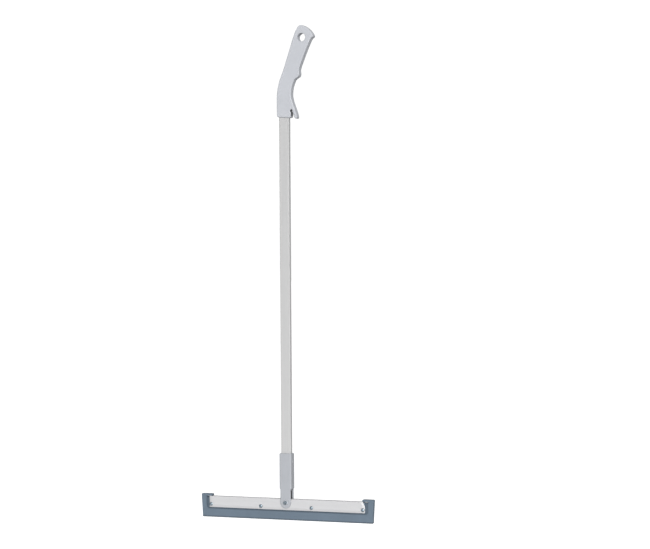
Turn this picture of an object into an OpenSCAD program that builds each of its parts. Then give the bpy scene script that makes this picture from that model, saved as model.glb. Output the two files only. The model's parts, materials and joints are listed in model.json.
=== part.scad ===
// Long-handled squeegee: a bent hand grip on a rectangular aluminium pole, a forked socket,
// and a straight head that swivels on one bolt. Millimetres, +Z up, front faces -Y.
// The origin is the middle of the blade's bottom edge, on the pole's axis.

/* [Pole] */
// Width of the pole's section, along X
pole_w = 25.5; // [22:0.5:26]
// Depth of the pole's section, along Y
pole_d = 12; // [10:0.5:13]
// Wall thickness of the pole
pole_wall = 1.2; // [1:0.1:2]
// Height of the grip's lower end above the blade's edge
grip_z = 977.5; // [700:0.5:1300]

/* [Grip] */
// Thickness of the grip, along Y
grip_t = 19; // [17:0.5:24]
// Wall thickness of the two grip shells
grip_wall = 2.6; // [2:0.1:3]
// Radius of the grip's rounded edges
grip_edge_r = 2.6; // [1:0.2:2.8]
// Diameter of the hanging hole
hang_d = 20; // [12:0.5:21]

/* [Fork socket] */
// Width of the socket's body
socket_w = 31.5; // [28:0.5:33]
// Depth of the socket's body and of the fork
socket_d = 23.5; // [22.5:0.5:26]
// Height of the socket's upper end
socket_top_z = 162.5; // [140:0.5:180]
// Height of the shoulder where the body narrows to the fork
shoulder_z = 77; // [76:0.5:80]
// Width of the fork's two ears
ear_w = 27; // [24:0.5:28]

/* [Head] */
// Length of the rubber blade at its top
head_len = 450; // [350:1:650]
// Height of the blade's end blocks
block_h = 57.3; // [54:0.1:60]
// Thickness of the rubber
rubber_t = 11.4; // [10:0.2:11.4]
// Width of each end block
block_w = 13.8; // [12:0.1:18]
// How much each end leans in towards the bottom
end_lean = 3.3; // [0:0.1:4]
// Thickness of each clamp plate
plate_t = 1.9; // [1.5:0.1:1.9]
// Height of the plates' lower edge
plate_z = 24.7; // [22:0.1:27]
// Height of the plates
plate_h = 27; // [25:0.5:28]
// Width of the sloped border round the plates
plate_border = 5.5; // [3:0.5:6]
// Gap between each end of the plates and the end block beside it
end_gap = 8.2; // [4:0.1:10]

/* [Pivot] */
// Height of the swivel axis
pivot_z = 43; // [42:0.5:44]
// Diameter of the pivot bolt
bolt_d = 5; // [4:0.5:6]

/* [Hidden] */
$fn = 48;
eps = 0.01;

light_plastic = [0.79, 0.80, 0.82];
grey_plastic = [0.73, 0.74, 0.77];
aluminium = [0.84, 0.84, 0.85];
steel = [0.60, 0.64, 0.68];
rubber_blue = [0.44, 0.50, 0.56];
black_nylon = [0.10, 0.10, 0.11];

// Pole
pole_r = 1.5;
pole_bottom_z = 82;
pole_top_z = grip_z + 66;
pole_fit = 0.1;

// Grip: Bezier curves in XZ, counter-clockwise, with z measured up from the grip's lower end.
// An entry with two points is a straight line.
curve_steps = 6;
grip_curves = [
    [[-11.5, 0.6], [14.5, -0.8]],
    [[14.5, -0.8], [17.6, -0.9], [19.3, 0.8], [19.3, 4.5]],
    [[19.3, 4.5], [19.3, 8], [19.3, 10.5], [18.8, 12.4]],
    [[18.8, 12.4], [16.2, 15], [17.4, 19.4], [20.6, 19.2]],
    [[20.6, 19.2], [22.9, 19], [23.6, 16.8], [23.4, 14.6]],
    [[23.4, 14.6], [24.6, 10], [26.4, 5.5], [28, 1]],
    [[28, 1], [29, -2], [30.6, -3.3], [32.2, -3.1]],
    [[32.2, -3.1], [34.8, -2.7], [35.6, -0.2], [34.6, 3.8]],
    [[34.6, 3.8], [32.4, 17], [19.9, 40], [20, 56]],
    [[20, 56], [20.4, 72], [24, 80], [27.6, 88.6]],
    [[27.6, 88.6], [31, 96], [41.6, 95], [41.6, 104]],
    [[41.6, 104], [41.4, 111], [39.6, 114], [43.7, 124]],
    [[43.7, 124], [50.2, 141], [62, 170], [70.8, 186.5]],
    [[70.8, 186.5], [73.4, 191], [79.2, 191.5], [77.4, 196.5]],
    [[77.4, 196.5], [72.4, 208.5], [57, 221.5], [46, 222.5]],
    [[46, 222.5], [36.6, 222.5], [29.6, 204], [23.6, 186.5]],
    [[23.6, 186.5], [16.6, 165], [9.7, 145], [3.4, 125]],
    [[3.4, 125], [-3.4, 104], [-17, 84], [-17.5, 45]],
    [[-17.5, 45], [-17.6, 30], [-17.4, 18], [-17.3, 7]],
    [[-17.3, 7], [-17.1, 2.6], [-15.2, 0.7], [-11.5, 0.6]]];
hang_x = 47.6;
hang_z = 192.5;
hang_rim = 1.2;
hollow_low = 72;
hollow_high = 176;
screw_places = [[0, 40], [16.5, 100], [33.5, 150]];
grip_boss_r = 4;
grip_screw_r = 1.6;
grip_screw_fit = 0.1;
grip_screw_len = 13;
grip_head_r = 3;
grip_head_h = 2.2;
grip_sink = 3;

// Fork socket
socket_r = 3.5;
socket_chamfer = 2;
socket_half = socket_d / 2;
head_half = rubber_t / 2 + plate_t;
disc_t = 1;
disc_gap = 0.05;
ear_gap = 2 * (head_half + disc_t + 2 * disc_gap);
slot_top_z = 74.5;
hole_fit = 0.1;
rivet_z = 142;
rivet_r = 2;
rivet_head_r = 3.6;
rivet_head_h = 0.9;

// Pivot
bolt_r = bolt_d / 2;
bolt_head_af = 8;
bolt_head_h = 3.5;
washer_r = 5;
washer_t = 1;
nut_h = 4.2;
nut_collar_h = 0.9;
bolt_tail = 1.5;
bush_r = 4;
bush_fit = 0.05;
bush_seat = 0.02;
disc_r = 11;
block_half = 11.5;
block_top_r = 29.5;
block_drop = 14;
block_fit = 0.2;

// Head
block_inner = head_len / 2 - block_w;
plate_half = block_inner - end_gap;
plate_top = plate_z + plate_h;
flange_t = 1.5;
rim_t = 0.5;
corner_cut = 5;
corner_cut_h = 12;
lip_len = 15.4;
lip_gap = 0.2;
lip_t = block_h - plate_top - lip_gap;
moat_drop = 3.8;
moat_depth = 2.5;
moat_r = 8;
lip_slot_w = 4.6;
lip_slot_h = 16;
lip_slot_end = 14;
edge_chamfer = 1.8;
screw_z = plate_z + 7.6;
screw_xs = [-198, -66, 66, 198];
blade_screw_r = 2;
button_r = 4.6;
button_h = 2.5;
hex_key_af = 2.5;
hex_key_deep = 1.4;
blade_washer_r = 4.5;
blade_washer_t = 0.8;
blade_nut_af = 7;
blade_nut_h = 3.2;
blade_screw_tail = 0.8;

// Point at t on a cubic Bezier curve with the control points p
function bezier(p, t) = pow(1 - t, 3) * p[0] + 3 * t * pow(1 - t, 2) * p[1]
    + 3 * t * t * (1 - t) * p[2] + pow(t, 3) * p[3];

// Unit vector to the left of the line from a to b
function left_of(a, b) = [a[1] - b[1], b[0] - a[0]] / norm(b - a);

// Closed counter-clockwise outline moved inwards by d
function inset(pts, d) = let (n = len(pts))
    [for (i = [0 : n - 1]) pts[i] + d * left_of(pts[(i + n - 1) % n], pts[(i + 1) % n])];

// Points along one entry of grip_curves, up to but not including its end
function along(c) = len(c) == 2 ? [c[0]] : [for (i = [0 : curve_steps - 1]) bezier(c, i / curve_steps)];

grip_outline = [for (c = grip_curves) each along(c)];

// Half of a slab, from y = 0 to y = -t, whose outer edge is rounded in steps; outline in XZ
module rounded_half_slab(pts, t, r) {
    slab_y(r - t, 0)
        polygon(pts);
    for (a = [0 : 30 : 60])
        slab_y(r - t - r * sin(a + 30), 0)
            polygon(inset(pts, r * (1 - cos(a + 20))));
}

// Cylinder along Y from y0 to y1, centred at x, z
module rod_y(x, z, r, y0, y1, r2 = -1) {
    translate([x, y0, z])
        rotate([-90, 0, 0])
            cylinder(h = y1 - y0, r1 = r, r2 = r2 < 0 ? r : r2);
}

// Cylinder along X from x0 to x1, centred at y = 0
module rod_x(z, r, x0, x1, r2 = -1) {
    translate([x0, 0, z])
        rotate([0, 90, 0])
            cylinder(h = x1 - x0, r1 = r, r2 = r2 < 0 ? r : r2);
}

// Hexagonal prism along Y from y0 to y1
module hex_y(x, z, across_flats, y0, y1) {
    translate([x, y0, z])
        rotate([-90, 0, 0])
            cylinder(h = y1 - y0, r = across_flats / 2 / cos(30), $fn = 6);
}

module rounded_rect(w, d, r) {
    square([w - 2 * r, d], center = true);
    square([w, d - 2 * r], center = true);
    for (x = [-1, 1], y = [-1, 1])
        translate([x * (w / 2 - r), y * (d / 2 - r)])
            circle(r);
}

// Outline in XZ pushed from y0 to y1
module slab_y(y0, y1) {
    translate([0, y1, 0])
        rotate([90, 0, 0])
            linear_extrude(y1 - y0)
                children();
}

// Grip half on the -Y side, without its screw holes
module grip_half() {
    hollow = [for (p = inset(grip_outline, grip_wall))
        if (p[1] > hollow_low && p[1] < hollow_high) p];
    translate([0, 0, grip_z]) {
        difference() {
            rounded_half_slab(grip_outline, grip_t / 2, grip_edge_r);
            slab_y(-grip_t / 2 + grip_wall, 1)
                polygon(hollow);
            translate([-(pole_w + pole_fit) / 2, -(pole_d + pole_fit) / 2, -10])
                cube([pole_w + pole_fit, pole_d, pole_top_z - grip_z + 10.5]);
            rod_y(hang_x, hang_z, hang_d / 2, -grip_t, 1);
            rod_y(hang_x, hang_z, hang_d / 2 + hang_rim + 0.5, -grip_t / 2 - 0.5,
                  -grip_t / 2 + hang_rim, hang_d / 2);
        }
        for (i = [1, 2])
            rod_y(screw_places[i][0], screw_places[i][1], grip_boss_r, -grip_t / 2 + grip_wall - eps, 0);
    }
}

module grip_front_shell() {
    color(light_plastic)
        difference() {
            grip_half();
            for (p = screw_places)
                rod_y(p[0], grip_z + p[1], grip_screw_r + grip_screw_fit / 2,
                      grip_t / 2 - grip_sink - grip_screw_len - 0.5, 1);
        }
}

module grip_back_shell() {
    color(light_plastic)
        difference() {
            mirror([0, 1, 0])
                grip_half();
            for (p = screw_places) {
                rod_y(p[0], grip_z + p[1], grip_screw_r + grip_screw_fit / 2, -1, grip_t);
                rod_y(p[0], grip_z + p[1], grip_head_r + grip_screw_fit, grip_t / 2 - grip_sink, grip_t);
            }
        }
}

module grip_screws() {
    seat = grip_t / 2 - grip_sink;
    color(steel)
        for (p = screw_places) {
            rod_y(p[0], grip_z + p[1], grip_screw_r, seat - grip_screw_len, seat + eps);
            difference() {
                rod_y(p[0], grip_z + p[1], grip_head_r, seat, seat + grip_head_h);
                for (turn = [0, 90])
                    translate([p[0], seat + grip_head_h, grip_z + p[1]])
                        rotate([0, turn, 0])
                            cube([3.2, 2.4, 0.8], center = true);
            }
        }
}

module pole_tube() {
    color(aluminium)
        difference() {
            translate([0, 0, pole_bottom_z])
                linear_extrude(pole_top_z - pole_bottom_z)
                    difference() {
                        rounded_rect(pole_w, pole_d, pole_r);
                        square([pole_w, pole_d] - [2, 2] * pole_wall, center = true);
                    }
            rod_y(screw_places[0][0], grip_z + screw_places[0][1], grip_screw_r + grip_screw_fit,
                  -pole_d, pole_d);
            rod_x(rivet_z, rivet_r + hole_fit / 2, -pole_w, pole_w);
        }
}

module ear_outline() {
    translate([0, pivot_z])
        circle(ear_w / 2);
    translate([-ear_w / 2, pivot_z])
        square([ear_w, shoulder_z - pivot_z]);
}

module fork_socket() {
    color(grey_plastic)
        difference() {
            union() {
                translate([0, 0, shoulder_z])
                    linear_extrude(socket_top_z - socket_chamfer - shoulder_z)
                        rounded_rect(socket_w, socket_d, socket_r);
                hull() {
                    translate([0, 0, socket_top_z - socket_chamfer])
                        linear_extrude(eps)
                            rounded_rect(socket_w, socket_d, socket_r, $fn = 32);
                    translate([0, 0, socket_top_z - eps])
                        linear_extrude(eps)
                            rounded_rect(socket_w - socket_chamfer, socket_d - 2 * socket_chamfer,
                                         socket_r - 1, $fn = 32);
                }
                slab_y(-socket_half, socket_half)
                    ear_outline();
            }
            slab_y(-ear_gap / 2, ear_gap / 2)
                translate([-socket_w, 0])
                    square([2 * socket_w, slot_top_z]);
            translate([0, 0, pole_bottom_z])
                linear_extrude(socket_top_z)
                    square([pole_w, pole_d] + [1, 1] * pole_fit, center = true);
            rod_y(0, pivot_z, bolt_r + hole_fit / 2, -socket_d, socket_d);
            rod_x(rivet_z, rivet_r + hole_fit / 2, -socket_w, socket_w);
        }
}

module socket_rivet() {
    face = socket_w / 2;
    color(steel) {
        rod_x(rivet_z, rivet_r, -face, face);
        rod_x(rivet_z, rivet_head_r, face, face + rivet_head_h, rivet_head_r / 2);
        rod_x(rivet_z, rivet_head_r / 2, -face - rivet_head_h, -face, rivet_head_r);
    }
}

module pivot_bolt() {
    head_y = -socket_half - washer_t;
    tail_y = socket_half + washer_t + nut_h + nut_collar_h + bolt_tail;
    color(steel) {
        hex_y(0, pivot_z, bolt_head_af, head_y - bolt_head_h, head_y);
        rod_y(0, pivot_z, bolt_r, head_y - eps, tail_y);
    }
}

module pivot_washers() {
    color(steel)
        for (y = [-socket_half - washer_t, socket_half])
            difference() {
                rod_y(0, pivot_z, washer_r, y, y + washer_t);
                rod_y(0, pivot_z, bolt_r + 0.2, y - 1, y + washer_t + 1);
            }
}

module pivot_nut() {
    seat = socket_half + washer_t;
    color(steel)
        difference() {
            union() {
                hex_y(0, pivot_z, bolt_head_af, seat, seat + nut_h);
                rod_y(0, pivot_z, bolt_head_af / 2 - 0.4, seat + nut_h - eps, seat + nut_h + nut_collar_h);
            }
            rod_y(0, pivot_z, bolt_r + 0.02, seat - 1, seat + 2 * nut_h);
        }
}

module swivel_discs() {
    color("white")
        for (y = [-head_half - disc_gap - disc_t, head_half + disc_gap])
            difference() {
                rod_y(0, pivot_z, disc_r, y, y + disc_t);
                rod_y(0, pivot_z, bolt_r + 0.1, y - 1, y + disc_t + 1);
            }
}

module pivot_bush() {
    color(steel)
        difference() {
            rod_y(0, pivot_z, bush_r, -head_half, head_half);
            rod_y(0, pivot_z, bolt_r + bush_fit, -head_half - 1, head_half + 1);
        }
}

module pivot_block() {
    half_t = rubber_t / 2;
    color(black_nylon)
        difference() {
            slab_y(-half_t, half_t)
                intersection() {
                    translate([0, pivot_z])
                        circle(block_top_r, $fn = 96);
                    translate([-block_half, pivot_z - block_drop])
                        square([2 * block_half, block_drop + block_top_r]);
                }
            rod_y(0, pivot_z, bush_r + bush_seat, -half_t - 1, half_t + 1);
        }
}

// Front view of a plate, with one top corner cut off
module plate_outline() {
    x = plate_half;
    polygon([[-x, plate_z], [x, plate_z], [x, plate_top - corner_cut_h], [x - corner_cut, plate_top],
             [-x, plate_top]]);
}

// Clamp plate on the -Y side: its outer face slopes to a thin rim at the bottom and the ends
module clamp_plate() {
    inner = -rubber_t / 2;
    rim = inner - rim_t;
    difference() {
        intersection() {
            slab_y(-head_half, inner)
                plate_outline();
            rotate([90, 0, 90])
                linear_extrude(head_len, center = true)
                    polygon([[inner, plate_z], [inner, plate_top], [-head_half, plate_top],
                             [-head_half, plate_z + plate_border], [rim, plate_z]]);
            linear_extrude(head_len)
                polygon([[plate_half, inner], [-plate_half, inner], [-plate_half, rim],
                         [plate_border - plate_half, -head_half],
                         [plate_half - plate_border, -head_half], [plate_half, rim]]);
        }
        rod_y(0, pivot_z, bush_r + bush_seat, -head_half - 1, 1);
        for (x = screw_xs)
            rod_y(x, screw_z, blade_screw_r + hole_fit, -head_half - 1, 1);
    }
}

module front_plate() {
    color(aluminium)
        clamp_plate();
}

// The back plate carries a top flange that closes the clamp, notched round the pivot block
module back_plate() {
    flange_half = plate_half - corner_cut - 1;
    notch = block_half + block_fit;
    color(aluminium) {
        mirror([0, 1, 0])
            clamp_plate();
        for (side = [-1, 1])
            translate([side > 0 ? notch : -flange_half, -rubber_t / 2, plate_top - flange_t])
                cube([flange_half - notch, rubber_t + eps, flange_t]);
    }
}

// U-shaped front view of the blade: end blocks, their lips, and the core between the plates
module blade_outline() {
    top = head_len / 2;
    foot = top - end_lean;
    lip_z = block_h - lip_t;
    core_top = plate_top - flange_t;
    lip_x = block_inner - lip_len;
    polygon([[-foot, 0], [foot, 0], [top, block_h], [lip_x, block_h], [lip_x, lip_z],
             [block_inner, lip_z], [block_inner, core_top], [-block_inner, core_top],
             [-block_inner, lip_z], [-lip_x, lip_z], [-lip_x, block_h], [-top, block_h]]);
}

// Shallow channel that frames the plate on three sides, rounded at its lower corners
module moat_outline() {
    low = plate_z - moat_drop;
    difference() {
        union() {
            translate([-block_inner, low + moat_r])
                square([2 * block_inner, plate_top - flange_t - low - moat_r + eps]);
            translate([-block_inner + moat_r, low])
                square([2 * (block_inner - moat_r), moat_r + eps]);
            for (side = [-1, 1])
                translate([side * (block_inner - moat_r), low + moat_r])
                    circle(moat_r);
        }
        translate([-plate_half, plate_z])
            square([2 * plate_half, plate_h + 10]);
    }
}

module rubber_blade() {
    half_t = rubber_t / 2;
    notch = block_half + block_fit;
    slot_half = head_len / 2 - lip_slot_end;
    color(rubber_blue)
        difference() {
            slab_y(-half_t, half_t)
                blade_outline();
            for (y = [-half_t - 1, half_t - moat_depth])
                slab_y(y, y + moat_depth + 1)
                    moat_outline();
            translate([-notch, -rubber_t, pivot_z - block_drop - block_fit])
                cube([2 * notch, 2 * rubber_t, block_h]);
            translate([-slot_half, -lip_slot_w / 2, -1])
                cube([2 * slot_half, lip_slot_w, lip_slot_h + 1]);
            for (side = [-1, 1])
                translate([0, side * half_t, 0])
                    rotate([45, 0, 0])
                        cube([head_len + 10, edge_chamfer * sqrt(2), edge_chamfer * sqrt(2)],
                             center = true);
            for (x = screw_xs)
                rod_y(x, screw_z, blade_screw_r + hole_fit, -rubber_t, rubber_t);
        }
}

module blade_screws() {
    tail_y = head_half + blade_washer_t + blade_nut_h + blade_screw_tail;
    color(steel)
        for (x = screw_xs) {
            rod_y(x, screw_z, blade_screw_r, -head_half - eps, tail_y);
            difference() {
                rod_y(x, screw_z, button_r / 2, -head_half - button_h, -head_half, button_r);
                hex_y(x, screw_z, hex_key_af, -head_half - button_h - 1,
                      -head_half - button_h + hex_key_deep);
            }
        }
}

module blade_washers() {
    color(steel)
        for (x = screw_xs)
            difference() {
                rod_y(x, screw_z, blade_washer_r, head_half, head_half + blade_washer_t);
                rod_y(x, screw_z, blade_screw_r + hole_fit, head_half - 1, head_half + 2);
            }
}

module blade_nuts() {
    seat = head_half + blade_washer_t;
    color(steel)
        for (x = screw_xs)
            difference() {
                hex_y(x, screw_z, blade_nut_af, seat, seat + blade_nut_h);
                rod_y(x, screw_z, blade_screw_r + 0.02, seat - 1, seat + blade_nut_h + 1);
            }
}

grip_front_shell();
grip_back_shell();
grip_screws();
pole_tube();
fork_socket();
socket_rivet();
pivot_bolt();
pivot_washers();
pivot_nut();
swivel_discs();
pivot_bush();
pivot_block();
front_plate();
back_plate();
rubber_blade();
blade_screws();
blade_washers();
blade_nuts();
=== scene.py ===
"""Long-handled squeegee: detailed meshes, materials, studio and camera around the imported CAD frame."""
import json
import math

import bmesh
import bpy
from mathutils import Matrix, Vector


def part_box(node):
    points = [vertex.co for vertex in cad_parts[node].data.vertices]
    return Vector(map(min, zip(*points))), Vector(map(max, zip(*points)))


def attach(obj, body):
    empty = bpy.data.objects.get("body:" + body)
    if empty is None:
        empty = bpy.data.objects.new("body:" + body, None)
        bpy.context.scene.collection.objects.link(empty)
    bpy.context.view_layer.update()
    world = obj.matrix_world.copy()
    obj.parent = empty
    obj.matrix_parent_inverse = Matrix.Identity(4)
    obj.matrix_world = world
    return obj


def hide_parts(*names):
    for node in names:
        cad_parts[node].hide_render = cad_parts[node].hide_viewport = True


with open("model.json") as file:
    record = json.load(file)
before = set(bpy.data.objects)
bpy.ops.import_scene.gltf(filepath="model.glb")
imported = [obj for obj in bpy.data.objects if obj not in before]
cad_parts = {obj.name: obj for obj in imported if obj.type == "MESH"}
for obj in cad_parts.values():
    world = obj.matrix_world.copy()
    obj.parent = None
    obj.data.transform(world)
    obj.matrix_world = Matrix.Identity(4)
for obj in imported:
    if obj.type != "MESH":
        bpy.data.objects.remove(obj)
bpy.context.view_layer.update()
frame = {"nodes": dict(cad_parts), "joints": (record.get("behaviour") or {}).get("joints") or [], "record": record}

MM = 0.001
POLE, HEAD = "pole", "head"


# ---------------------------------------------------------------- sizes from the frame

def lo(node, axis):
    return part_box(node)[0][axis]


def hi(node, axis):
    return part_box(node)[1][axis]


X, Y, Z = 0, 1, 2
swivel = next(j for j in frame["joints"] if j["name"] == "head_swivel")
PIVOT_Z = swivel["pos_m"][2]
hang = next(m for m in frame["record"]["mounts"] if m["name"] == "hang_hole")
HANG_X, HANG_Z = hang["pos_m"][0], hang["pos_m"][2]
HANG_R = hang["dims"]["r_mm"] * MM

GRIP_HALF = hi("grip_back_shell", Y)
GRIP_EDGE = 2.6 * MM
GRIP_SEAM = 0.02 * MM                         # half of the gap between the grip's two covers
GRIP_SCREW_SINK = 3 * MM
GRIP_Z = HANG_Z - 192.5 * MM                  # height that the grip's outline is measured from

POLE_W = hi("pole_tube", X) - lo("pole_tube", X)
POLE_D = hi("pole_tube", Y) - lo("pole_tube", Y)
POLE_WALL = 1.2 * MM

SOCKET_W = hi("fork_socket", X) - lo("fork_socket", X)
SOCKET_D = hi("fork_socket", Y) - lo("fork_socket", Y)
SOCKET_TOP = hi("fork_socket", Z)
EAR_R = PIVOT_Z - lo("fork_socket", Z)
SOCKET_CORNER = 3.5 * MM
SOCKET_TOP_ROUND = 2.0 * MM
POCKET_LOW = lo("pole_tube", Z)
POCKET_FIT = 0.1 * MM
SHOULDER_Z = 77 * MM
SLOT_TOP = 74.5 * MM
EAR_GAP_HALF = hi("swivel_discs", Y) + 0.05 * MM
EAR_BORE_R = 2.55 * MM

HALF_RUBBER = hi("rubber_blade", Y)
HALF_HEAD = hi("pivot_bush", Y)
BLADE_HALF = hi("rubber_blade", X)
BLOCK_TOP = hi("rubber_blade", Z)
PLATE_HALF = hi("front_plate", X)
PLATE_LOW = lo("front_plate", Z)
PLATE_TOP = hi("front_plate", Z)
BLOCK_INNER = PLATE_HALF + 8.2 * MM
END_LEAN = 3.3 * MM                           # how far in the blade's lower corners are
LIP_LENGTH = 15.4 * MM
LIP_LOW = PLATE_TOP + 0.2 * MM
CORE_TOP = PLATE_TOP - 1.5 * MM
MOAT_LOW = PLATE_LOW - 3.8 * MM
MOAT_DEPTH = 2.5 * MM
NOTCH_HALF = hi("pivot_block", X) + 0.2 * MM
PLATE_BORDER = 5.5 * MM
PLATE_RIM = 0.5 * MM
SCREW_Z = (lo("blade_washers", Z) + hi("blade_washers", Z)) / 2
SCREW_XS = [side * x * MM for side in (-1, 1) for x in (66, 198)]


# ---------------------------------------------------------------- outlines, in XZ, seen from the front

def bezier(p, t):
    s = 1 - t
    w = (s ** 3, 3 * t * s * s, 3 * t * t * s, t ** 3)
    return tuple(sum(w[i] * p[i][k] for i in range(4)) for k in (0, 1))


def arc(cx, cz, r, start, end, steps):
    """Points on an arc, angles in degrees, both ends included."""
    angles = [math.radians(start + (end - start) * i / steps) for i in range(steps + 1)]
    return [(cx + r * math.cos(a), cz + r * math.sin(a)) for a in angles]


def circle(cx, cz, r, steps=48):
    return arc(cx, cz, r, 0, 360 - 360 / steps, steps - 1)


def inset(loop, d):
    """A counter-clockwise loop moved inwards by d along each point's normal."""
    n, out = len(loop), []
    for i, (x, z) in enumerate(loop):
        (ax, az), (bx, bz) = loop[i - 1], loop[(i + 1) % n]
        tx, tz = bx - ax, bz - az
        size = math.hypot(tx, tz)
        out.append((x - d * tz / size, z + d * tx / size))
    return out


def rounded(corners, radii, steps=6):
    """A polygon with its corners rounded; radii is one number or one for each corner."""
    n, out = len(corners), []
    if not isinstance(radii, (list, tuple)):
        radii = [radii] * n
    for i, p in enumerate(corners):
        p = Vector(p)
        a = (Vector(corners[i - 1]) - p).normalized()
        b = (Vector(corners[(i + 1) % n]) - p).normalized()
        half = a.angle(b) / 2
        reach = radii[i] / math.tan(half)
        centre = p + (a + b).normalized() * (radii[i] / math.sin(half))
        if radii[i] == 0:
            out += [tuple(p)] * (steps + 1)
            continue
        start, end = p + a * reach - centre, p + b * reach - centre
        turn = start.angle(end)
        for k in range(steps + 1):
            t = k / steps
            mix = (start * math.sin((1 - t) * turn) + end * math.sin(t * turn)) / math.sin(turn)
            out.append(tuple(centre + mix))
    return out


SQUARE_EDGE = ((0, 0),)


def bevel_edge(size):
    """A profile for slab: an edge broken by size in two small slopes."""
    return ((size, 0), (0.3 * size, 0.3 * size), (0, size))


def quarter_round(r, steps=7):
    """(inset, depth below the face) from the face's edge out to the side wall."""
    turns = [math.pi / 2 * i / steps for i in range(steps + 1)]
    return [(r * (1 - math.sin(a)), r * (1 - math.cos(a))) for a in turns]


# ---------------------------------------------------------------- mesh building

def add_ring(bm, loop, y):
    return [bm.verts.new((x, y, z)) for x, z in loop]


def bridge(bm, a, b):
    n = len(a)
    for i in range(n):
        j = (i + 1) % n
        bm.faces.new((a[i], a[j], b[j], b[i]))


def bridge_all(bm, rings):
    for a, b in zip(rings, rings[1:]):
        bridge(bm, a, b)


def ring_edges(bm, ring):
    out = []
    for i, v in enumerate(ring):
        w = ring[(i + 1) % len(ring)]
        out.append(bm.edges.get((v, w)) or bm.edges.new((v, w)))
    return out


def cap(bm, rings):
    """Fills the flat region inside the first ring and outside the others."""
    edges = [e for ring in rings for e in ring_edges(bm, ring)]
    bmesh.ops.triangle_fill(bm, use_beauty=True, use_dissolve=False, edges=edges)


def slab(bm, outline, y_face, y_back, profile, back_profile=SQUARE_EDGE, holes=()):
    """A plate in XZ between y_face and y_back. profile and back_profile round its two edges.

    Each hole is (x, z, [(radius, depth), ...], through): rings from the face inwards. A through
    hole's last ring lies on the back face; any other hole ends in a flat floor.
    """
    inward = 1 if y_back > y_face else -1
    face_rings = [add_ring(bm, inset(outline, d), y_face + inward * h) for d, h in profile]
    back_rings = [add_ring(bm, inset(outline, d), y_back - inward * h) for d, h in back_profile]
    bridge_all(bm, face_rings + back_rings[::-1])
    face_loops, back_loops = [face_rings[0]], [back_rings[0]]
    for x, z, steps, through in holes:
        rings = [add_ring(bm, circle(x, z, r), y_face + inward * h) for r, h in steps]
        bridge_all(bm, rings)
        face_loops.append(rings[0])
        if through:
            back_loops.append(rings[-1])
        else:
            bm.faces.new(rings[-1])
    cap(bm, face_loops)
    cap(bm, back_loops)


def lathe_y(bm, x, z, profile, steps=48):
    """Turns (radius, y) pairs about the line along Y through x, z. A radius of 0 closes an end."""
    rings = []
    for r, y in profile:
        if r == 0:
            rings.append([bm.verts.new((x, y, z))])
        else:
            rings.append(add_ring(bm, circle(x, z, r, steps), y))
    for a, b in zip(rings, rings[1:]):
        if len(a) == 1 or len(b) == 1:
            tip, ring = (a[0], b) if len(a) == 1 else (b[0], a)
            for i in range(len(ring)):
                bm.faces.new((tip, ring[i], ring[(i + 1) % len(ring)]))
        else:
            bridge(bm, a, b)


def prism(half_width, sides):
    """A regular polygon, given by half its width across flats."""
    r = half_width / math.cos(math.pi / sides)
    return arc(0, 0, r, 0, 360 - 360 / sides, sides - 1)


def section_rect(w, d, r, steps=6):
    """Rounded rectangle in XY."""
    out = []
    for cx, cy, start in ((1, 1, 0), (-1, 1, 90), (-1, -1, 180), (1, -1, 270)):
        out += arc(cx * (w / 2 - r), cy * (d / 2 - r), r, start, start + 90, steps)
    return out


def loft_z(bm, sections):
    """Joins sections, each (points in XY, z), and returns the rings."""
    rings = [[bm.verts.new((x, y, z)) for x, y in points] for points, z in sections]
    bridge_all(bm, rings)
    return rings


def smooth(mesh, sharp=35):
    """Smooth shading with a crease wherever two faces meet at more than sharp degrees."""
    mesh.shade_smooth()
    mesh.set_sharp_from_angle(angle=math.radians(sharp))


def mesh_object(name, bm):
    bmesh.ops.recalc_face_normals(bm, faces=bm.faces)
    mesh = bpy.data.meshes.new(name)
    bm.to_mesh(mesh)
    bm.free()
    smooth(mesh)
    obj = bpy.data.objects.new(name, mesh)
    bpy.context.scene.collection.objects.link(obj)
    return obj


def boolean(obj, build, operation="DIFFERENCE"):
    """Cuts away or joins on the solid that build(bm) makes, and applies the result."""
    bm = bmesh.new()
    build(bm)
    tool = mesh_object(obj.name + "_tool", bm)
    mod = obj.modifiers.new("cut", "BOOLEAN")
    mod.operation, mod.object, mod.solver = operation, tool, "EXACT"
    apply_modifiers(obj)
    bpy.data.objects.remove(tool, do_unlink=True)


def apply_modifiers(obj):
    graph = bpy.context.evaluated_depsgraph_get()
    mesh = bpy.data.meshes.new_from_object(obj.evaluated_get(graph))
    obj.modifiers.clear()
    old = obj.data
    obj.data = mesh
    bpy.data.meshes.remove(old)


def soften(obj, width, segments, angle):
    """Rounds the edges sharper than angle by width."""
    mod = obj.modifiers.new("edges", "BEVEL")
    mod.width, mod.segments, mod.limit_method = width, segments, "ANGLE"
    mod.angle_limit, mod.harden_normals = math.radians(angle), True


def even_normals(obj):
    mod = obj.modifiers.new("normals", "WEIGHTED_NORMAL")
    mod.keep_sharp = True


def place(obj, body, nodes, material):
    """The piece rides on a body, stands for CAD nodes, and gets its slot and material."""
    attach(obj, body)
    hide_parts(*nodes)
    obj.data.materials.clear()
    obj.data.materials.append(material)


def solid_box(bm, low, high):
    """A closed box between two corners, used as a cutter and for the back plate's flange."""
    made = bmesh.ops.create_cube(bm, size=1)["verts"]
    for v in made:
        v.co = Vector(low[k] + (v.co[k] + 0.5) * (high[k] - low[k]) for k in range(3))


# ---------------------------------------------------------------- materials

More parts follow.
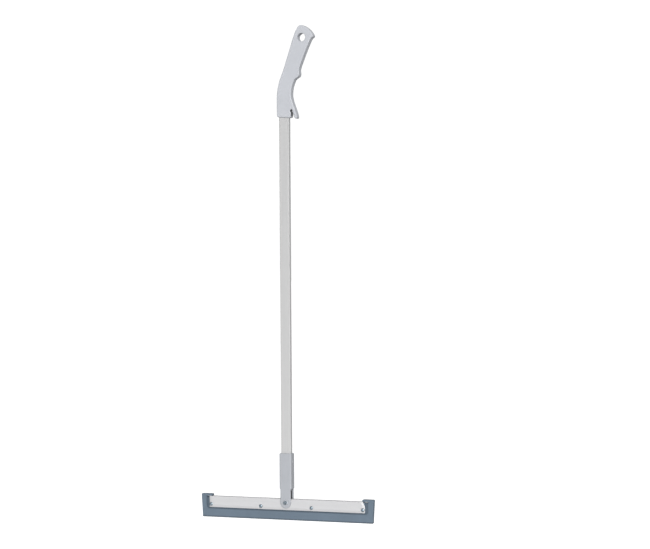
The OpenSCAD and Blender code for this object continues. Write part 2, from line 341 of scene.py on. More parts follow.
class Nodes:
    """A material's node tree, with short ways to add and link nodes."""

    def __init__(self, name):
        self.material = bpy.data.materials.new(name)
        self.material.use_nodes = True
        self.tree = self.material.node_tree
        self.shader = self.tree.nodes["Principled BSDF"]
        self.place = self.add("ShaderNodeTexCoord").outputs["Object"]

    def add(self, kind, **values):
        node = self.tree.nodes.new(kind)
        for key, value in values.items():
            setattr(node, key, value)
        return node

    def link(self, a, b):
        self.tree.links.new(a, b)

    def stretch(self, scale):
        node = self.add("ShaderNodeMapping")
        node.inputs["Scale"].default_value = scale
        self.link(self.place, node.inputs["Vector"])
        return node.outputs["Vector"]

    def noise(self, scale, detail=3, rough=0.5, vector=None):
        node = self.add("ShaderNodeTexNoise")
        node.inputs["Scale"].default_value = scale
        node.inputs["Detail"].default_value = detail
        node.inputs["Roughness"].default_value = rough
        self.link(vector or self.place, node.inputs["Vector"])
        return node.outputs["Fac"]

    def ranged(self, value, low, high, out_low=0.0, out_high=1.0):
        node = self.add("ShaderNodeMapRange")
        limits = {"From Min": low, "From Max": high, "To Min": out_low, "To Max": out_high}
        for key, limit in limits.items():
            node.inputs[key].default_value = limit
        self.link(value, node.inputs["Value"])
        return node.outputs["Result"]

    def blend(self, factor, a, b):
        """Mix of two colours; a and b are colours or sockets."""
        node = self.add("ShaderNodeMix", data_type="RGBA")
        self.link(factor, node.inputs["Factor"])
        for name, value in (("A", a), ("B", b)):
            socket = next(s for s in node.inputs if s.name == name and s.type == "RGBA")
            if isinstance(value, (tuple, list)):
                socket.default_value = (*value[:3], 1)
            else:
                self.link(value, socket)
        return next(s for s in node.outputs if s.type == "RGBA")

    def math(self, operation, a, b=None):
        node = self.add("ShaderNodeMath", operation=operation)
        for socket, value in zip(node.inputs, (a, b)):
            if value is None:
                continue
            if isinstance(value, (int, float)):
                socket.default_value = value
            else:
                self.link(value, socket)
        return node.outputs[0]

    def between(self, value, low, high):
        """1 where value lies between low and high, and 0 elsewhere."""
        above = self.math("GREATER_THAN", value, low)
        return self.math("MULTIPLY", above, self.math("LESS_THAN", value, high))

    def part(self, axis):
        node = self.add("ShaderNodeSeparateXYZ")
        self.link(self.place, node.inputs[0])
        return node.outputs[axis]

    def bump(self, height, strength, distance, normal=None):
        node = self.add("ShaderNodeBump")
        node.inputs["Strength"].default_value = strength
        node.inputs["Distance"].default_value = distance
        self.link(height, node.inputs["Height"])
        if normal:
            self.link(normal, node.inputs["Normal"])
        return node.outputs["Normal"]

    def finish(self, color=None, roughness=None, normal=None, **fixed):
        for socket, value in (("Base Color", color), ("Roughness", roughness), ("Normal", normal)):
            if value is not None:
                self.link(value, self.shader.inputs[socket])
        for key, value in fixed.items():
            self.shader.inputs[key.replace("_", " ")].default_value = value
        return self.material


def shade(color, factor):
    return tuple(min(1.0, c * factor) for c in color)


def moulded_plastic(name, color, roughness, painted_shade=None):
    """Spark-eroded moulded plastic: fine grain, faint flow clouds and a few scuffs.

    An optional function of the nodes may give the share of painted shade at each point.
    """
    m = Nodes(name)
    cloud = m.noise(14, 4, 0.55)
    fine = m.noise(420, 2, 0.5)
    tone = m.blend(m.ranged(cloud, 0.35, 0.65), shade(color, 0.965), shade(color, 1.025))
    tone = m.blend(m.ranged(fine, 0.3, 0.7, 0, 0.35), tone, shade(color, 0.94))
    scuff = m.noise(70, 8, 0.7, m.stretch((1, 1, 0.25)))
    tone = m.blend(m.ranged(scuff, 0.66, 0.8, 0, 0.25), tone, shade(color, 1.12))
    wear = m.math("ADD", m.noise(55, 5, 0.6), scuff)
    rough = m.ranged(wear, 0.7, 1.3, roughness - 0.06, roughness + 0.08)
    # Painted shade: the mask's points are darkened towards a quarter of the plastic's colour.
    if painted_shade:
        tone = m.blend(painted_shade(m), tone, shade(color, 0.25))
    normal = m.bump(m.noise(1500, 2, 0.6), 0.22, 0.00006)
    normal = m.bump(m.noise(28, 3, 0.5), 0.15, 0.0004, normal)
    return m.finish(tone, rough, normal, Specular_IOR_Level=0.45)


def slot_painted_shade(m):
    """Painted shade on the inner walls of the slot beside the grip's spur."""
    walls = m.between(m.part("X"), 15 * MM, 27 * MM)
    walls = m.math("MULTIPLY", walls, m.between(m.part("Z"), GRIP_Z + 3 * MM, GRIP_Z + 20 * MM))
    walls = m.math("MULTIPLY", walls, m.between(m.part("Y"), 2 * MM - GRIP_HALF, GRIP_HALF - 2 * MM))
    return m.math("MULTIPLY", walls, 0.9)


def anodised(name, color, roughness, lines, across, metal):
    """Satin anodised aluminium: lines drawn along one axis, faint cloudy oxide, handling marks."""
    m = Nodes(name)
    drawn = m.noise(1, 5, 0.65, m.stretch(lines))
    fine = m.noise(1, 2, 0.5, m.stretch(tuple(v * 3.1 for v in lines)))
    cloud = m.noise(9, 4, 0.6)
    tone = m.blend(m.ranged(drawn, 0.3, 0.7), shade(color, 0.94), shade(color, 1.03))
    tone = m.blend(m.ranged(cloud, 0.35, 0.7, 0, 0.5), tone, shade(color, 0.96))
    handled = m.noise(60, 8, 0.75, m.stretch(across))
    tone = m.blend(m.ranged(handled, 0.67, 0.78, 0, 0.35), tone, shade(color, 0.86))
    rough = m.ranged(m.math("ADD", fine, cloud), 0.7, 1.3, roughness - 0.07, roughness + 0.09)
    normal = m.bump(drawn, 0.22, 0.00008)
    normal = m.bump(fine, 0.12, 0.00004, normal)
    return m.finish(tone, rough, normal, Metallic=metal, Specular_IOR_Level=0.35)


def zinc_steel(name, color, stain):
    """Bluish zinc plate with faint spangle and tarnish clouds."""
    m = Nodes(name)
    cells = m.add("ShaderNodeTexVoronoi")
    cells.inputs["Scale"].default_value = 900
    m.link(m.place, cells.inputs["Vector"])
    spangle = m.ranged(cells.outputs["Distance"], 0.1, 0.7)
    cloud = m.noise(260, 5, 0.6)
    tone = m.blend(m.ranged(cloud, 0.35, 0.65), shade(color, 0.85), shade(color, 1.1))
    tone = m.blend(m.ranged(m.noise(700, 3), 0.55, 0.75, 0, 0.4), tone, stain)
    rough = m.ranged(m.math("ADD", spangle, cloud), 0.4, 1.4, 0.24, 0.42)
    normal = m.bump(cloud, 0.2, 0.00004)
    return m.finish(tone, rough, normal, Metallic=1.0)


def blade_rubber(name, color):
    """Matt rubber: mould bloom, dust, painted shade darkening its bottom edge, and painted shade in the channel by
    the plates.
    """
    m = Nodes(name)
    cloud = m.noise(16, 5, 0.6)
    flow = m.noise(30, 4, 0.6, m.stretch((0.25, 1, 1)))
    tone = m.blend(m.ranged(cloud, 0.35, 0.65), shade(color, 0.93), shade(color, 1.05))
    tone = m.blend(m.ranged(flow, 0.45, 0.7, 0, 0.4), tone, shade(color, 1.1))
    dust = m.noise(900, 3, 0.7)
    tone = m.blend(m.ranged(dust, 0.62, 0.78, 0, 0.35), tone, shade(color, 1.25))
    # Painted shade: the rubber darkens towards its bottom edge, below 4.5 mm.
    edge = m.ranged(m.part("Z"), 2.8 * MM, 4.5 * MM, 0.8, 0)
    tone = m.blend(edge, tone, shade(color, 0.62))
    # Painted shade on the recessed rubber between the end blocks, such as the channel round the plates.
    depth = m.math("SUBTRACT", HALF_RUBBER, m.math("ABSOLUTE", m.part("Y")))
    across = m.math("ABSOLUTE", m.part("X"))
    inside = m.math("MULTIPLY", m.math("GREATER_THAN", depth, 1.5 * MM),
                    m.math("LESS_THAN", across, BLOCK_INNER + 0.2 * MM))
    tone = m.blend(m.math("MULTIPLY", inside, 0.8), tone, shade(color, 0.68))
    rough = m.ranged(m.math("ADD", cloud, m.noise(120, 4, 0.6)), 0.7, 1.3, 0.52, 0.68)
    normal = m.bump(m.noise(650, 3, 0.6), 0.25, 0.00008)
    normal = m.bump(flow, 0.15, 0.0003, normal)
    return m.finish(tone, rough, normal, Specular_IOR_Level=0.35)


# The grip's plastic gets painted shade on its slot walls.
GRIP_MATERIAL = moulded_plastic("grip_plastic", (0.505, 0.52, 0.555), 0.42, slot_painted_shade)
SOCKET_MATERIAL = moulded_plastic("socket_plastic", (0.385, 0.40, 0.428), 0.45)
POLE_MATERIAL = anodised("pole_aluminium", (0.54, 0.54, 0.54), 0.50, (900, 900, 5), (1, 1, 0.2), 0.15)
PLATE_MATERIAL = anodised("plate_aluminium", (0.60, 0.60, 0.61), 0.55, (6, 900, 900), (0.25, 1, 1), 0.25)
RIVET_MATERIAL = anodised("rivet_aluminium", (0.60, 0.61, 0.64), 0.35, (400, 900, 900), (1, 1, 1), 0.7)
STEEL_MATERIAL = zinc_steel("zinc_steel", (0.31, 0.37, 0.42), (0.40, 0.36, 0.28))
WASHER_MATERIAL = zinc_steel("washer_steel", (0.60, 0.62, 0.65), (0.52, 0.50, 0.42))
WHITE_NYLON = moulded_plastic("nylon_white", (0.80, 0.80, 0.77), 0.40)
BLACK_NYLON = moulded_plastic("nylon_black", (0.030, 0.031, 0.034), 0.45)
RUBBER_MATERIAL = blade_rubber("blade_rubber", (0.120, 0.160, 0.204))


# ---------------------------------------------------------------- grip

GRIP_CURVES = [
    [(-11.5, 0.6), (14.5, -0.8)],
    [(14.5, -0.8), (17.6, -0.9), (19.3, 0.8), (19.3, 4.5)],
    [(19.3, 4.5), (19.3, 8), (19.3, 10.5), (18.8, 12.4)],
    [(18.8, 12.4), (16.2, 15), (17.4, 19.4), (20.6, 19.2)],
    [(20.6, 19.2), (22.9, 19), (23.6, 16.8), (23.4, 14.6)],
    [(23.4, 14.6), (24.6, 10), (26.4, 5.5), (28, 1)],
    [(28, 1), (29, -2), (30.6, -3.3), (32.2, -3.1)],
    [(32.2, -3.1), (34.8, -2.7), (35.6, -0.2), (34.6, 3.8)],
    [(34.6, 3.8), (32.4, 17), (19.9, 40), (20, 56)],
    [(20, 56), (20.4, 72), (24, 80), (27.6, 88.6)],
    [(27.6, 88.6), (31, 96), (41.6, 95), (41.6, 104)],
    [(41.6, 104), (41.4, 111), (39.6, 114), (43.7, 124)],
    [(43.7, 124), (50.2, 141), (62, 170), (70.8, 186.5)],
    [(70.8, 186.5), (73.4, 191), (79.2, 191.5), (77.4, 196.5)],
    [(77.4, 196.5), (72.4, 208.5), (57, 221.5), (46, 222.5)],
    [(46, 222.5), (36.6, 222.5), (29.6, 204), (23.6, 186.5)],
    [(23.6, 186.5), (16.6, 165), (9.7, 145), (3.4, 125)],
    [(3.4, 125), (-3.4, 104), (-17, 84), (-17.5, 45)],
    [(-17.5, 45), (-17.6, 30), (-17.4, 18), (-17.3, 7)],
    [(-17.3, 7), (-17.1, 2.6), (-15.2, 0.7), (-11.5, 0.6)]]
GRIP_SCREWS = [(0, 40), (16.5, 100), (33.5, 150)]
CURVE_STEPS = 16


def grip_outline():
    """The grip's outline: Bezier curves, and two-point curves that are straight lines."""
    out = []
    for curve in GRIP_CURVES:
        if len(curve) == 2:
            (ax, az), (bx, bz) = curve
            curve = [curve[0], (ax + (bx - ax) / 3, az), (bx - (bx - ax) / 3, bz), curve[1]]
        out += [bezier(curve, i / CURVE_STEPS) for i in range(CURVE_STEPS)]
    return [(x * MM, GRIP_Z + z * MM) for x, z in out]


def make_grip():
    outline = grip_outline()
    rim = 1.2 * MM
    seam_edge = ((0.3 * MM, 0), (0, 0.3 * MM))
    depth = GRIP_HALF - GRIP_SEAM
    hang_steps = [(HANG_R + rim, 0), (HANG_R + 0.55 * rim, 0.12 * rim),
                  (HANG_R + 0.15 * rim, 0.5 * rim), (HANG_R, rim), (HANG_R, depth)]
    head_r, shank_r = 3.1 * MM, 1.7 * MM
    screw_steps = [(head_r + 0.3 * MM, 0), (head_r, 0.3 * MM), (head_r, GRIP_SCREW_SINK),
                   (shank_r, GRIP_SCREW_SINK), (shank_r, depth)]
    for name, node, side, screws in (("grip_front_cover", "grip_front_shell", -1, []),
                                     ("grip_back_cover", "grip_back_shell", 1, GRIP_SCREWS)):
        holes = [(HANG_X, HANG_Z, hang_steps, True)]
        holes += [(x * MM, GRIP_Z + z * MM, screw_steps, True) for x, z in screws]
        bm = bmesh.new()
        slab(bm, outline, side * GRIP_HALF, side * GRIP_SEAM, quarter_round(GRIP_EDGE, 8),
             back_profile=seam_edge, holes=holes)
        cover = mesh_object(name, bm)
        even_normals(cover)
        place(cover, POLE, [node], GRIP_MATERIAL)


def dome(r, base, height):
    """A profile for lathe_y: a low dome from radius r at base to just short of its top."""
    turns = [math.radians(a) for a in range(0, 80, 10)]
    return [(r * math.cos(a), base + height * math.sin(a)) for a in turns]


def make_grip_screws():
    seat = GRIP_HALF - GRIP_SCREW_SINK
    head_r, head_h, land = 3.0 * MM, 2.2 * MM, 0.6 * MM
    profile = [(0, seat - 9 * MM), (1.1 * MM, seat - 8 * MM), (1.6 * MM, seat), (head_r, seat)]
    profile += dome(head_r, seat + land, head_h - land) + [(0, seat + head_h)]
    bm = bmesh.new()
    for x, z in GRIP_SCREWS:
        lathe_y(bm, x * MM, GRIP_Z + z * MM, profile)
    screws = mesh_object("grip_screw_set", bm)

    def cross(bm):
        arm, half = 1.7, 0.4
        corner = [(half, -arm), (half, -half), (arm, -half)]
        for x, z in GRIP_SCREWS:
            outline = []
            for turn in range(4):
                outline += [((x + px) * MM, GRIP_Z + (z + pz) * MM) for px, pz in corner]
                corner = [(-pz, px) for px, pz in corner]
            slab(bm, outline, seat + 4 * MM, seat + 1 * MM, SQUARE_EDGE)
    boolean(screws, cross)
    smooth(screws.data)
    place(screws, POLE, ["grip_screws"], STEEL_MATERIAL)


# ---------------------------------------------------------------- pole and socket

def make_pole():
    low, high = lo("pole_tube", Z), hi("pole_tube", Z)
    outer = section_rect(POLE_W, POLE_D, 1.5 * MM)
    inner = section_rect(POLE_W - 2 * POLE_WALL, POLE_D - 2 * POLE_WALL, 0.6 * MM)
    bm = bmesh.new()
    heights = [low + (high - low) * i / 24 for i in range(25)]
    walls = [loft_z(bm, [(points, z) for z in heights]) for points in (outer, inner)]
    for end in (0, -1):
        bridge(bm, walls[0][end], walls[1][end])
    pole = mesh_object("pole", bm)
    even_normals(pole)
    place(pole, POLE, ["pole_tube"], POLE_MATERIAL)


def socket_body(bm):
    """The socket from the slot's root up: lofted sections, with the pole's pocket in its top."""
    pocket = section_rect(POLE_W + POCKET_FIT, POLE_D + POCKET_FIT, 1.5 * MM)
    sections = [(section_rect(2 * EAR_R, SOCKET_D, SOCKET_CORNER), SLOT_TOP),
                (section_rect(2 * EAR_R, SOCKET_D, SOCKET_CORNER), SHOULDER_Z - 1.6 * MM),
                (section_rect(SOCKET_W - 0.3 * MM, SOCKET_D, SOCKET_CORNER), SHOULDER_Z - 0.15 * MM),
                (section_rect(SOCKET_W, SOCKET_D, SOCKET_CORNER), SHOULDER_Z + 0.3 * MM)]
    for degrees in range(0, 91, 15):
        turn = math.radians(degrees)
        back = SOCKET_TOP_ROUND * (1 - math.cos(turn))
        drop = SOCKET_TOP_ROUND * (1 - math.sin(turn))
        section = section_rect(SOCKET_W - back, SOCKET_D - 2 * back, SOCKET_CORNER - back * 0.8)
        sections.append((section, SOCKET_TOP - drop))
    rings = loft_z(bm, sections + [(pocket, SOCKET_TOP), (pocket, POCKET_LOW)])
    bm.faces.new(rings[0])
    bm.faces.new(rings[-1])


def fork_ears(bm):
    straight, top = PIVOT_Z + 12 * MM, SHOULDER_Z + 1 * MM
    outline = arc(0, PIVOT_Z, EAR_R, 180, 360, 36)
    outline += [(EAR_R, straight), (EAR_R, top), (-EAR_R, top), (-EAR_R, straight)]
    bore = [(EAR_BORE_R, 0), (EAR_BORE_R, SOCKET_D / 2 - EAR_GAP_HALF)]
    for side in (-1, 1):
        slab(bm, outline, side * SOCKET_D / 2, side * EAR_GAP_HALF, quarter_round(1.8 * MM, 8),
             back_profile=bevel_edge(0.3 * MM), holes=[(0, PIVOT_Z, bore, True)])


def make_socket():
    bm = bmesh.new()
    socket_body(bm)
    socket = mesh_object("fork", bm)
    boolean(socket, fork_ears, "UNION")
    smooth(socket.data, 32)
    even_normals(socket)
    place(socket, POLE, ["fork_socket"], SOCKET_MATERIAL)


def make_rivet():
    z = (lo("socket_rivet", Z) + hi("socket_rivet", Z)) / 2
    r = (hi("socket_rivet", Z) - lo("socket_rivet", Z)) / 2
    reach = hi("socket_rivet", X)
    face = SOCKET_W / 2
    shank_r = 2 * MM
    half = [(shank_r, 0.1 * MM), (shank_r, face)] + dome(r, face, reach - face) + [(0, reach)]
    bm = bmesh.new()
    lathe_y(bm, 0, 0, [(p[0], -p[1]) for p in half[::-1]] + half, 32)
    for v in bm.verts:                        # turned on its side, to lie along X
        v.co = Vector((v.co.y, v.co.x, v.co.z + z))
    rivet = mesh_object("cross_rivet", bm)
    place(rivet, POLE, ["socket_rivet"], RIVET_MATERIAL)


# ---------------------------------------------------------------- pivot

HEX_STEPS = 72


def hex_head(bm, x, z, across, base, top):
    """A hexagon from y = base to y = top with its corners turned off at the top.

    Returns its top ring, which is left open.
    """
    out = 1 if top > base else -1
    half = across / 2
    corner = half / math.cos(math.pi / 6)
    turns = [2 * math.pi * i / HEX_STEPS for i in range(HEX_STEPS)]

    def ring(limit, y):
        loop = []
        for a in turns:
            r = min(half / math.cos((a + math.pi / 6) % (math.pi / 3) - math.pi / 6), limit)
            loop.append((x + r * math.cos(a), z + r * math.sin(a)))
        return add_ring(bm, loop, y)
    foot = ring(2 * corner, base)
    rings = [foot]
    for level in range(6):
        t = level / 5
        y = base + out * (abs(top - base) - (1 - t) * 0.1225 * across)
        rings.append(ring(corner + (half * 0.94 - corner) * t ** 1.5, y))
    bm.faces.new(foot)
    bridge_all(bm, rings)
    return rings[-1]



def make_pivot_bolt():
    head_base, head_top = lo("pivot_washers", Y), lo("pivot_bolt", Y)
    tail = hi("pivot_bolt", Y)
    across = hi("pivot_bolt", Z) - lo("pivot_bolt", Z)
    bm = bmesh.new()
    top = hex_head(bm, 0, PIVOT_Z, across, head_base, head_top)
    dish = [(2.2 * MM, head_top), (1.9 * MM, head_top + 0.35 * MM)]
    rings = [top] + [add_ring(bm, circle(0, PIVOT_Z, r, HEX_STEPS), y) for r, y in dish]
    bridge_all(bm, rings)
    bm.faces.new(rings[-1])
    r, pitch, ridge = 2.5 * MM, 0.8 * MM, 0.35 * MM
    thread_start = tail - 9 * MM
    profile = [(0, head_base + 0.3 * MM), (r, head_base + 0.3 * MM), (r, thread_start)]
    for i in range(int((tail - 0.6 * MM - thread_start) / pitch)):
        y = thread_start + i * pitch
        profile += [(r - ridge, y + 0.35 * pitch), (r - 0.02 * MM, y + 0.8 * pitch)]
    profile += [(r - 0.5 * MM, tail - 0.1 * MM), (0, tail)]
    lathe_y(bm, 0, PIVOT_Z, profile, 36)
    bolt = mesh_object("swivel_bolt", bm)
    even_normals(bolt)
    place(bolt, POLE, ["pivot_bolt"], STEEL_MATERIAL)


def make_pivot_nut():
    """A hexagon with the round collar of its locking insert."""
    base = hi("pivot_washers", Y)
    across = hi("pivot_nut", Z) - lo("pivot_nut", Z)
    bm = bmesh.new()
    top = hex_head(bm, 0, PIVOT_Z, across, base, base + 4.2 * MM)
    collar = [(3.6, 4.2), (3.55, 4.8), (3.3, 5.08), (2.75, 5.1), (2.62, 4.8), (2.6, 4.0)]
    rings = [top]
    for r, rise in collar:
        rings.append(add_ring(bm, circle(0, PIVOT_Z, r * MM, HEX_STEPS), base + rise * MM))
    bridge_all(bm, rings)
    bm.faces.new(rings[-1])
    nut = mesh_object("lock_nut", bm)
    even_normals(nut)
    place(nut, POLE, ["pivot_nut"], STEEL_MATERIAL)


def add_washer(bm, x, z, r_in, r_out, y0, y1):
    edge = 0.15 * MM
    profile = [(r_in, y0), (r_out - edge, y0), (r_out, y0 + edge), (r_out, y1 - edge),
               (r_out - edge, y1), (r_in + edge, y1), (r_in, y1 - edge)]
    rings = [add_ring(bm, circle(x, z, r), y) for r, y in profile]
    bridge_all(bm, rings + rings[:1])


def make_washers(name, body, node, spots):
    """spots lists (x, z, inner radius, outer radius, y0, y1)."""
    bm = bmesh.new()
    for spot in spots:
        add_washer(bm, *spot)
    washers = mesh_object(name, bm)
    even_normals(washers)
    place(washers, body, [node], WASHER_MATERIAL)


def make_all_washers():
    half, thick = SOCKET_D / 2, 1.0 * MM
    make_washers("swivel_washers", POLE, "pivot_washers",
                 [(0, PIVOT_Z, 2.65 * MM, 5 * MM, y, y + thick) for y in (-half - thick, half)])
    y0, y1 = lo("blade_washers", Y), hi("blade_washers", Y)
    make_washers("plate_washers", HEAD, "blade_washers",
                 [(x, SCREW_Z, 2.1 * MM, 4.5 * MM, y0, y1) for x in SCREW_XS])


def make_pivot_block():
    half = hi("pivot_block", X)
    low = lo("pivot_block", Z)
    top_r = hi("pivot_block", Z) - PIVOT_Z
    swing = math.degrees(math.acos(half / top_r))
    outline = [(-half, low), (half, low)] + arc(0, PIVOT_Z, top_r, swing, 180 - swing, 24)
    edge = bevel_edge(0.5 * MM)
    face = HALF_RUBBER - 0.02 * MM
    bm = bmesh.new()
    slab(bm, outline, -face, face, edge, back_profile=edge)
    block = mesh_object("swivel_block", bm)
    even_normals(block)
    place(block, HEAD, ["pivot_block"], BLACK_NYLON)


# ---------------------------------------------------------------- head

def plate_loop(border, cut_x, cut_z, radius):
    """A plate's outline moved in by border at its ends and foot, with one top corner cut off."""
    x, low = PLATE_HALF - border, PLATE_LOW + border
    corners = [(-x, low), (x, low), (x, PLATE_TOP - cut_z), (x - cut_x, PLATE_TOP), (-x, PLATE_TOP)]
    return rounded(corners, [radius, radius, 2.5 * MM, 1.2 * MM, 1.0 * MM])


def add_flange(bm):
    """The back plate's top flange, which reaches over the rubber on each side of the fork."""
    end = PLATE_HALF - 6 * MM
    for low_x, high_x in ((-end, -NOTCH_HALF), (NOTCH_HALF, end)):
        solid_box(bm, (low_x, -HALF_RUBBER, CORE_TOP), (high_x, HALF_RUBBER + 0.05 * MM, PLATE_TOP))


def make_plate(name, node, side):
    """A clamp plate whose border slopes down to a thin rim; side is -1 in front and 1 behind."""
    rim = plate_loop(0, 5 * MM, 12 * MM, 1.6 * MM)
    flat = plate_loop(PLATE_BORDER, 6 * MM, 8 * MM, 0.8 * MM)
    thick = HALF_HEAD - HALF_RUBBER
    slope = thick - PLATE_RIM
    steps = [(0, 0.0), (0, PLATE_RIM - 0.15 * MM), (0.03, PLATE_RIM), (0.5, PLATE_RIM + slope * 0.5),
             (0.93, PLATE_RIM + slope * 0.93), (1.0, thick)]

    def mixed(t):
        return [(a[0] + (b[0] - a[0]) * t, a[1] + (b[1] - a[1]) * t) for a, b in zip(rim, flat)]
    bm = bmesh.new()
    rings = [add_ring(bm, mixed(t), side * (HALF_RUBBER + rise)) for t, rise in steps]
    bridge_all(bm, rings)
    face, back = [rings[-1]], [rings[0]]
    for x in SCREW_XS:
        hole = circle(x, SCREW_Z, 2.1 * MM, 32)
        ends = [add_ring(bm, hole, side * y) for y in (HALF_HEAD, HALF_RUBBER)]
        bridge(bm, *ends)
        face.append(ends[0])
        back.append(ends[1])
    cap(bm, face)
    cap(bm, back)
    if side > 0:
        add_flange(bm)
    plate = mesh_object(name, bm)
    soften(plate, 0.25 * MM, 2, 40)
    even_normals(plate)
    place(plate, HEAD, [node], PLATE_MATERIAL)


def blade_outline():
    """The long strip, its two end blocks, and the lips that hook over the plates."""
    lip_x = BLOCK_INNER - LIP_LENGTH
    right = [(BLADE_HALF - END_LEAN, 0), (BLADE_HALF, BLOCK_TOP), (lip_x, BLOCK_TOP),
             (lip_x, LIP_LOW), (BLOCK_INNER, LIP_LOW), (BLOCK_INNER, CORE_TOP)]
    radii = [r * MM for r in (1.2, 2.0, 2.0, 2.0, 1.2, 0.4)]
    return rounded(right + [(-x, z) for x, z in reversed(right)], radii + radii[::-1])


def moat(bm):
    """The channel that frames each plate on three sides."""
    top, inner, outer = CORE_TOP - 0.2 * MM, 2 * MM, 8 * MM
    corners = [(-BLOCK_INNER, MOAT_LOW), (BLOCK_INNER, MOAT_LOW), (BLOCK_INNER, top), (PLATE_HALF, top),
               (PLATE_HALF, PLATE_LOW), (-PLATE_HALF, PLATE_LOW), (-PLATE_HALF, top), (-BLOCK_INNER, top)]
    loop = rounded(corners, [outer, outer, 0, 0, inner, inner, 0, 0])
    unique = [p for i, p in enumerate(loop) if math.dist(p, loop[i - 1]) > 1e-7]
    for side in (-1, 1):
        slab(bm, unique, side * (HALF_RUBBER - MOAT_DEPTH), side * (HALF_RUBBER + 1 * MM), SQUARE_EDGE)


def lip_slot(bm):
    """The slot under the blade that leaves its two wiping lips."""
    half, width = BLADE_HALF - 14 * MM, 2.3 * MM
    solid_box(bm, (-half, -width, -1 * MM), (half, width, 16 * MM))


def edge_chamfers(bm):
    """Slopes along both lower edges, cut by a square bar turned on its corner."""
    size, half = 1.8 * MM, BLADE_HALF + 5 * MM
    for y in (-HALF_RUBBER, HALF_RUBBER):
        corners = [(y - size, 0), (y, -size), (y + size, 0), (y, size)]
        ends = [[bm.verts.new((x, cy, cz)) for cy, cz in corners] for x in (-half, half)]
        bridge(bm, *ends)
        for end in ends:
            bm.faces.new(end)


def block_notch(bm):
    """The gap in the rubber's middle for the swivel block."""
    low = lo("pivot_block", Z) - 0.2 * MM
    solid_box(bm, (-NOTCH_HALF, -0.02, low), (NOTCH_HALF, 0.02, BLOCK_TOP + 0.01))


def make_blade():
    edge = quarter_round(0.8 * MM, 4)
    bm = bmesh.new()
    slab(bm, blade_outline(), -HALF_RUBBER, HALF_RUBBER, edge, back_profile=edge)
    blade = mesh_object("blade", bm)
    for cutter in (moat, lip_slot, edge_chamfers, block_notch):
        boolean(blade, cutter)
    smooth(blade.data, 32)
    even_normals(blade)
    place(blade, HEAD, ["rubber_blade"], RUBBER_MATERIAL)


def button_head(bm, x, base, top):
    """A domed screw head in front of the plate with a hexagon socket."""
    r, land, steepest = 4.6 * MM, 0.3 * MM, math.radians(64)
    height = base - top - land
    loops = [(r - 0.2 * MM, base)]
    for degrees in range(0, 66, 8):
        turn = math.radians(degrees)
        loops.append((r * math.cos(turn), base - land - height * math.sin(turn) / math.sin(steepest)))
    rings = [add_ring(bm, circle(x, SCREW_Z, loop_r), y) for loop_r, y in loops]
    bridge_all(bm, rings)
    key = [(x + px, SCREW_Z + pz) for px, pz in prism(2.5 * MM / 2, 6)]
    mouth, floor = add_ring(bm, key, top), add_ring(bm, key, top + 1.5 * MM)
    bridge(bm, mouth, floor)
    bm.faces.new(floor)
    cap(bm, [rings[-1], mouth])
    bm.faces.new(rings[0])


def threaded_shank(base, tail):
    """The lathe_y profile of an M4 shank from the head to its tail, threaded behind the plates."""
    y = HALF_HEAD + 0.8 * MM
    profile = [(0, base - 0.02 * MM), (2 * MM, base - 0.02 * MM), (2 * MM, y)]
    while y < tail - 0.9 * MM:
        profile += [(1.72 * MM, y + 0.25 * MM), (1.98 * MM, y + 0.6 * MM)]
        y += 0.7 * MM
    return profile + [(1.5 * MM, tail - 0.05 * MM), (0, tail)]


def make_blade_screws():
    base, top, tail = -HALF_HEAD, lo("blade_screws", Y), hi("blade_screws", Y)
    bm = bmesh.new()
    for x in SCREW_XS:
        button_head(bm, x, base, top)
        lathe_y(bm, x, SCREW_Z, threaded_shank(base, tail), 32)
    screws = mesh_object("plate_screws", bm)
    even_normals(screws)
    place(screws, HEAD, ["blade_screws"], STEEL_MATERIAL)


def make_blade_nuts():
    base, top = lo("blade_nuts", Y), hi("blade_nuts", Y)
    across = hi("blade_nuts", Z) - lo("blade_nuts", Z)
    bm = bmesh.new()
    bore = [(2.35, 0), (2.05, 0.3), (2.05, 1.2)]
    for x in SCREW_XS:
        rings = [hex_head(bm, x, SCREW_Z, across, base, top)]
        for r, depth in bore:
            rings.append(add_ring(bm, circle(x, SCREW_Z, r * MM, HEX_STEPS), top - depth * MM))
        bridge_all(bm, rings)
        bm.faces.new(rings[-1])
    nuts = mesh_object("plate_nuts", bm)
    even_normals(nuts)
    place(nuts, HEAD, ["blade_nuts"], STEEL_MATERIAL)


def finish_cad_nodes():
    """The two thin nylon discs and the bush keep their CAD shape."""
    for node, material in (("swivel_discs", WHITE_NYLON), ("pivot_bush", STEEL_MATERIAL)):
        obj = frame["nodes"][node]
        for slot in obj.material_slots:
            slot.material = material


# ---------------------------------------------------------------- studio

FLOOR_DROP = 0.2
FLOOR_RADIUS = 60


def make_floor():
    """A wide white floor below the lowest reach of the swung head: the tool hangs above it."""
    bm = bmesh.new()
    bmesh.ops.create_circle(bm, cap_ends=True, radius=FLOOR_RADIUS, segments=128)
    for v in bm.verts:
        v.co.z = -FLOOR_DROP
    floor = mesh_object("studio_floor", bm)
    m = Nodes("studio_floor")
    away = m.add("ShaderNodeVectorMath", operation="LENGTH")
    m.link(m.place, away.inputs[0])
    table = m.ranged(away.outputs["Value"], 0.6, 2.0, 1, 0)
    tone = m.blend(m.ranged(m.noise(3, 3), 0.3, 0.7), (0.44, 0.44, 0.44), (0.46, 0.46, 0.46))
    tone = m.blend(table, tone, (0.90, 0.90, 0.90))
    seen = m.add("ShaderNodeLightPath").outputs["Is Camera Ray"]
    m.link(m.math("MULTIPLY", seen, 0.86), m.shader.inputs["Emission Strength"])
    m.finish(tone, Roughness=0.85, Specular_IOR_Level=0.1, Emission_Color=(1, 1, 1, 1))
    floor.data.materials.append(m.material)


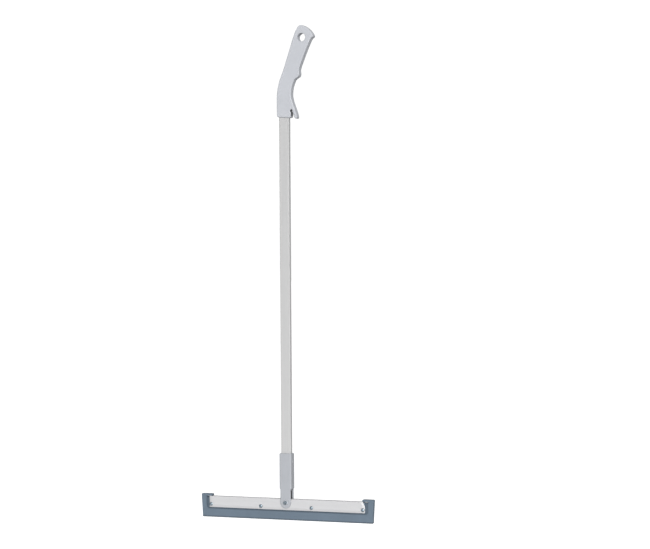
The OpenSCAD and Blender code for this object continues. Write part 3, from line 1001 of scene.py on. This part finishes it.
def make_sun(name, toward, strength, spread):
    """A soft distant light; toward points from the object to it, spread is its size in degrees."""
    data = bpy.data.lights.new(name, "SUN")
    data.energy, data.angle = strength, math.radians(spread)
    light = bpy.data.objects.new(name, data)
    light.rotation_euler = (-Vector(toward)).to_track_quat("-Z", "Y").to_euler()
    bpy.context.scene.collection.objects.link(light)


def make_world():
    """White to the camera. As light it is dim, and a little brighter above, in front and behind."""
    world = bpy.data.worlds.new("studio")
    world.use_nodes = True
    tree = world.node_tree
    background = tree.nodes["Background"]
    direction = tree.nodes.new("ShaderNodeTexCoord").outputs["Generated"]

    def lobe(toward, gain):
        """gain times the cosine to a direction, never below 0."""
        dot = tree.nodes.new("ShaderNodeVectorMath")
        dot.operation = "DOT_PRODUCT"
        tree.links.new(direction, dot.inputs[0])
        dot.inputs[1].default_value = Vector(toward).normalized() * gain
        clipped = tree.nodes.new("ShaderNodeMath")
        clipped.operation = "MAXIMUM"
        tree.links.new(dot.outputs["Value"], clipped.inputs[0])
        clipped.inputs[1].default_value = 0
        return clipped.outputs[0]

    def total(a, b):
        node = tree.nodes.new("ShaderNodeMath")
        node.operation = "ADD"
        for socket, value in zip(node.inputs, (a, b)):
            if isinstance(value, (int, float)):
                socket.default_value = value
            else:
                tree.links.new(value, socket)
        return node.outputs[0]
    above, front, behind = lobe((0, 0, 1), 0.2), lobe((0, -1, 0), 0.3), lobe((-0.4, 0.9, 0), 0.4)
    glow = total(total(above, front), total(behind, 0.2))
    path = tree.nodes.new("ShaderNodeLightPath")
    seen = tree.nodes.new("ShaderNodeMix")
    seen.data_type = "FLOAT"
    tree.links.new(path.outputs["Is Camera Ray"], seen.inputs["Factor"])
    tree.links.new(glow, seen.inputs["A"])
    seen.inputs["B"].default_value = 1.05
    tree.links.new(seen.outputs["Result"], background.inputs["Strength"])
    background.inputs["Color"].default_value = (1, 1, 1, 1)
    bpy.context.scene.world = world


def make_camera():
    """The photograph's view: from the front and 20.65 degrees to the right, near mid height."""
    azimuth, elevation, roll = math.radians(20.65), math.radians(0.58), math.radians(-0.35)
    distance, aside, height = 4.828, 0.0956, 0.5964
    back = Vector((math.sin(azimuth) * math.cos(elevation), -math.cos(azimuth) * math.cos(elevation),
                   math.sin(elevation)))
    target = Vector((aside * math.cos(azimuth), aside * math.sin(azimuth), height))
    data = bpy.data.cameras.new("camera")
    data.lens, data.clip_end = 110.05, 100
    camera = bpy.data.objects.new("camera", data)
    camera.location = target + back * distance
    look = (-back).to_track_quat("-Z", "Y").to_matrix().to_4x4()
    camera.rotation_euler = (look @ Matrix.Rotation(roll, 4, Vector((0, 0, 1)))).to_euler()
    bpy.context.scene.collection.objects.link(camera)
    bpy.context.scene.camera = camera


make_camera()
make_grip()
make_grip_screws()
make_pole()
make_socket()
make_rivet()
make_pivot_bolt()
make_pivot_nut()
make_all_washers()
make_pivot_block()
make_plate("front_clamp_plate", "front_plate", -1)
make_plate("back_clamp_plate", "back_plate", 1)
make_blade()
make_blade_screws()
make_blade_nuts()
finish_cad_nodes()
make_floor()
make_world()
make_sun("key", (0.43, -0.86, 0.25), 2.75, 30)
bpy.context.scene.view_settings.view_transform = "Standard"
